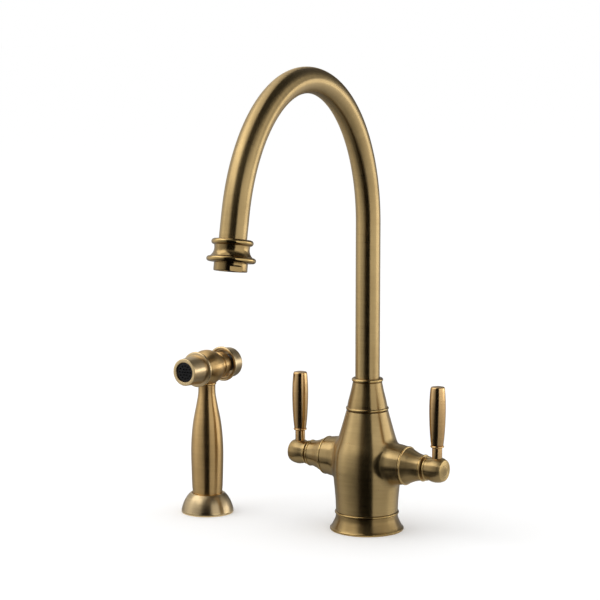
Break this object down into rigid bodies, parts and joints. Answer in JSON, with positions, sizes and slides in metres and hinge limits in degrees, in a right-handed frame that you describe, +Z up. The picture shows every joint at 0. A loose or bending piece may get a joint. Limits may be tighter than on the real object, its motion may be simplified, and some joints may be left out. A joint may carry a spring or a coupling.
{
  "type": "side spray kitchen faucet",
  "caption": "Gooseneck kitchen faucet in aged brass with lever handles on side valves, a swivelling spout and a separate lift-out side spray with a thumb button.",
  "frame": {"origin": "on the deck's top face, at the centre of the faucet's foot", "axes": "+Z up along the spout's rise, -Y towards the user and the sink, +X to the user's right; the handles' axis runs along X and the side spray stands at -X"},
  "size_m": [0.2638, 0.3131, 0.476],
  "materials": {
    "aged_brass": "brushed antique brass, brown-toned, satin",
    "aged_bronze": "smoother, slightly redder antique brass",
    "raw_brass": "machined brass, not coated",
    "steel": "plain stainless steel",
    "rubber": "black moulded rubber",
    "black_plastic": "black acetal",
    "nylon": "natural nylon",
    "ceramic": "opaque fired alumina, ground flat"
  },
  "bodies": {
    "base": {"mounting_shank": "raw_brass", "deck_washer_rubber": "rubber", "deck_washer_steel": "steel", "mounting_nut": "raw_brass", "base_flange": "aged_brass", "base_gasket": "rubber", "faucet_body": "aged_brass", "supply_inlet_left": "raw_brass", "supply_inlet_right": "raw_brass", "spray_outlet": "raw_brass", "spout_collar": "aged_brass", "diverter_sleeve": "raw_brass", "valve_bonnet_right": "aged_brass", "cartridge_right": "raw_brass", "seat_seal_right": "rubber", "valve_bonnet_left": "aged_brass", "cartridge_left": "raw_brass", "seat_seal_left": "rubber", "spray_holder": "aged_brass", "holder_gasket": "rubber", "holder_liner": "nylon", "holder_shank": "raw_brass", "holder_washer": "steel", "holder_nut": "raw_brass"},
    "diverter": {"diverter_piston": "black_plastic"},
    "right_handle": {"handle_hub_right": "aged_brass", "lever_stem_right": "aged_bronze", "lever_grip_right": "aged_bronze", "valve_spindle_right": "raw_brass", "valve_disc_right": "ceramic", "grub_screw_right": "steel"},
    "left_handle": {"handle_hub_left": "aged_brass", "lever_stem_left": "aged_bronze", "lever_grip_left": "aged_bronze", "valve_spindle_left": "raw_brass", "valve_disc_left": "ceramic", "grub_screw_left": "steel"},
    "spout": {"spout_pipe": "aged_brass", "spout_foot": "raw_brass", "spout_oring_lower": "rubber", "spout_oring_upper": "rubber", "spout_thrust_ring": "nylon", "outlet_collar": "aged_brass", "aerator_housing": "aged_brass", "aerator_insert": "black_plastic", "aerator_washer": "rubber"},
    "hose_end": {"hose_swivel": "raw_brass", "hose_washer": "rubber"},
    "handset": {"spray_grip": "aged_brass", "grip_ring": "aged_brass", "spray_head": "aged_brass", "nozzle_nose": "aged_brass", "nozzle_seal": "rubber", "spray_face": "black_plastic", "button_spring": "steel"},
    "button": {"thumb_button": "aged_brass", "plunger_rod": "steel", "plunger_seal": "rubber"}
  },
  "joints": [
    {"name": "spout_swivel", "type": "hinge", "parent": "base", "child": "spout", "pos_m": [0, 0, 0.118], "axis": [0, 0, 1], "continuous": true},
    {"name": "right_handle_turn", "type": "hinge", "parent": "base", "child": "right_handle", "pos_m": [0.0605, 0, 0.063], "axis": [1, 0, 0], "range_deg": [0, 90]},
    {"name": "left_handle_turn", "type": "hinge", "parent": "base", "child": "left_handle", "pos_m": [-0.0605, 0, 0.063], "axis": [1, 0, 0], "range_deg": [0, 90]},
    {"name": "handset_lift", "type": "slide", "parent": "base", "child": "hose_end", "axis": [0, 0, 1], "range_m": [0, 0.08]},
    {"name": "handset_turn", "type": "hinge", "parent": "hose_end", "child": "handset", "pos_m": [-0.159, -0.027, 0.018], "axis": [0, 0, 1], "continuous": true},
    {"name": "button_press", "type": "slide", "parent": "handset", "child": "button", "axis": [0, -1, 0], "range_m": [0, 0.004], "stiffness_N_per_m": 800, "springref_m": -0.004, "deforming": ["button_spring"]},
    {"name": "diverter_slide", "type": "slide", "parent": "base", "child": "diverter", "axis": [0, 0, 1], "range_m": [0, 0.003]}
  ],
  "couplings": [
    {"joint": "diverter_slide", "follows": "button_press", "ratio": 0.75}
  ]
}
